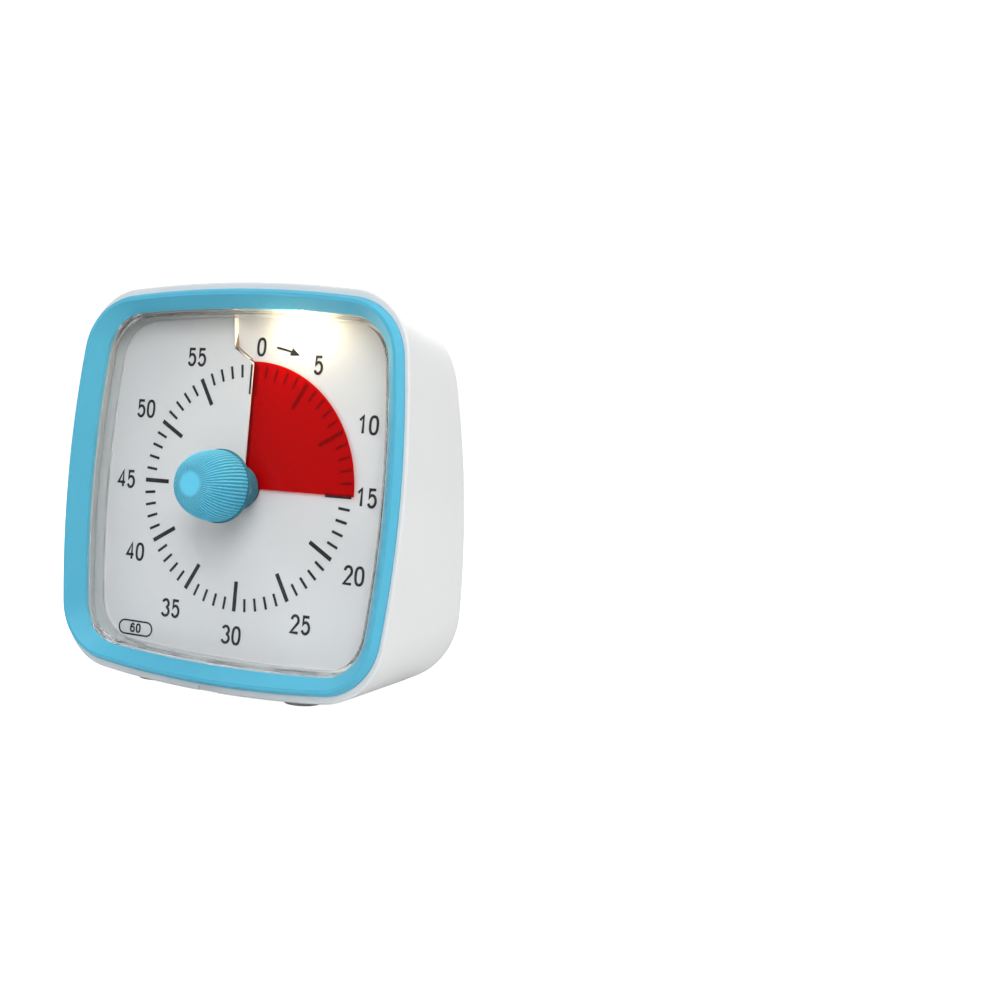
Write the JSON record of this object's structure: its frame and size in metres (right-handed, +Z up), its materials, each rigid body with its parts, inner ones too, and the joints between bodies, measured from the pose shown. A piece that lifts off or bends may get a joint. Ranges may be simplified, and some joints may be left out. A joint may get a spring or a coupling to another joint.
{
  "type": "visual countdown timer",
  "caption": "Square desk timer with a leaning face, a red film sector that shows the minutes left, a fluted centre knob and a battery back.",
  "frame": {"origin": "middle of the resting plane under the feet, centred on the whole part's box", "axes": "+Z up, -Y out of the dial towards the reader, +X to the reader's right"},
  "size_m": [0.0986, 0.0588, 0.0997],
  "materials": {
    "housing_white": "smooth satin",
    "feet_rubber": "matt",
    "bezel_blue": "smooth satin",
    "lens_clear": "clear gloss",
    "dial_grey": "matt print",
    "film_red": "tinted film",
    "hub_grey": "matt",
    "knob_blue": "smooth satin",
    "steel_shaft": "turned",
    "chassis_black": "matt",
    "screw_steel": "plated",
    "movement_black": "matt",
    "gear_white": "matt",
    "spring_steel": "bright",
    "rotor_dark": "matt",
    "stator_iron": "stamped",
    "coil_copper": "enamelled wire",
    "cover_white": "fine matt",
    "cell_sleeve": "wrapped",
    "contact_nickel": "plated",
    "board_green": "coated",
    "buzzer_black": "matt",
    "switch_black": "matt",
    "button_grey": "soft matt",
    "lamp_warm": "clear"
  },
  "bodies": {
    "case": {"housing": "housing_white", "feet": "feet_rubber", "bezel": "bezel_blue", "lens": "lens_clear", "dial": "dial_grey", "chassis_plate": "chassis_black", "chassis_screws": "screw_steel", "movement_front": "movement_black", "movement_case": "movement_black", "movement_screws": "screw_steel", "stator": "stator_iron", "coil": "coil_copper", "back_cover": "cover_white", "case_screws": "screw_steel", "battery_cells": "cell_sleeve", "battery_contacts": "contact_nickel", "battery_springs": "contact_nickel", "circuit_board": "board_green", "board_screws": "screw_steel", "buzzer": "buzzer_black", "button_switch": "switch_black", "slide_switch": "switch_black", "lamp": "lamp_warm", "lamp_board": "board_green"},
    "knob_body": {"knob": "knob_blue", "arbor": "steel_shaft", "clutch_washer": "spring_steel", "retaining_clip": "spring_steel"},
    "film_body": {"film": "film_red", "film_hub": "hub_grey"},
    "output_body": {"output_wheel": "gear_white"},
    "middle_body": {"middle_wheel": "gear_white"},
    "rotor_body": {"rotor": "rotor_dark"},
    "door_body": {"battery_door": "cover_white"},
    "button_body": {"light_button": "button_grey"},
    "slider_body": {"sound_slider": "button_grey"}
  },
  "joints": [
    {"name": "knob_turn", "type": "hinge", "parent": "case", "child": "knob_body", "pos_m": [0, -0.00802, 0.0498], "axis": [0, 0.9986, -0.0523], "range_deg": [-90, 270]},
    {"name": "film_climb", "type": "slide", "parent": "knob_body", "child": "film_body", "axis": [0, -0.9986, 0.0523], "range_m": [-0.0004, 0.0012]},
    {"name": "output_spin", "type": "hinge", "parent": "case", "child": "output_body", "pos_m": [0, -0.00802, 0.0498], "axis": [0, 0.9986, -0.0523], "continuous": true},
    {"name": "middle_spin", "type": "hinge", "parent": "case", "child": "middle_body", "pos_m": [-0.0082, -0.00845, 0.04161], "axis": [0, 0.9986, -0.0523], "continuous": true},
    {"name": "rotor_spin", "type": "hinge", "parent": "case", "child": "rotor_body", "pos_m": [0.00119, -0.00863, 0.03819], "axis": [0, 0.9986, -0.0523], "continuous": true},
    {"name": "door_open", "type": "hinge", "parent": "case", "child": "door_body", "pos_m": [0, 0.02647, 0.01054], "axis": [-1, 0, 0], "range_deg": [0, 95]},
    {"name": "button_press", "type": "slide", "parent": "case", "child": "button_body", "axis": [0, -0.9821, -0.1884], "range_m": [0, 0.0008], "stiffness_N_per_m": 400, "springref_m": -0.0002},
    {"name": "slider_move", "type": "slide", "parent": "case", "child": "slider_body", "axis": [-1, 0, 0], "range_m": [0, 0.004]}
  ],
  "couplings": [
    {"joint": "film_climb", "follows": "knob_turn", "m_per_rad": 0.00025465},
    {"joint": "middle_spin", "follows": "output_spin", "ratio": -4.8},
    {"joint": "rotor_spin", "follows": "output_spin", "ratio": 19.2}
  ]
}
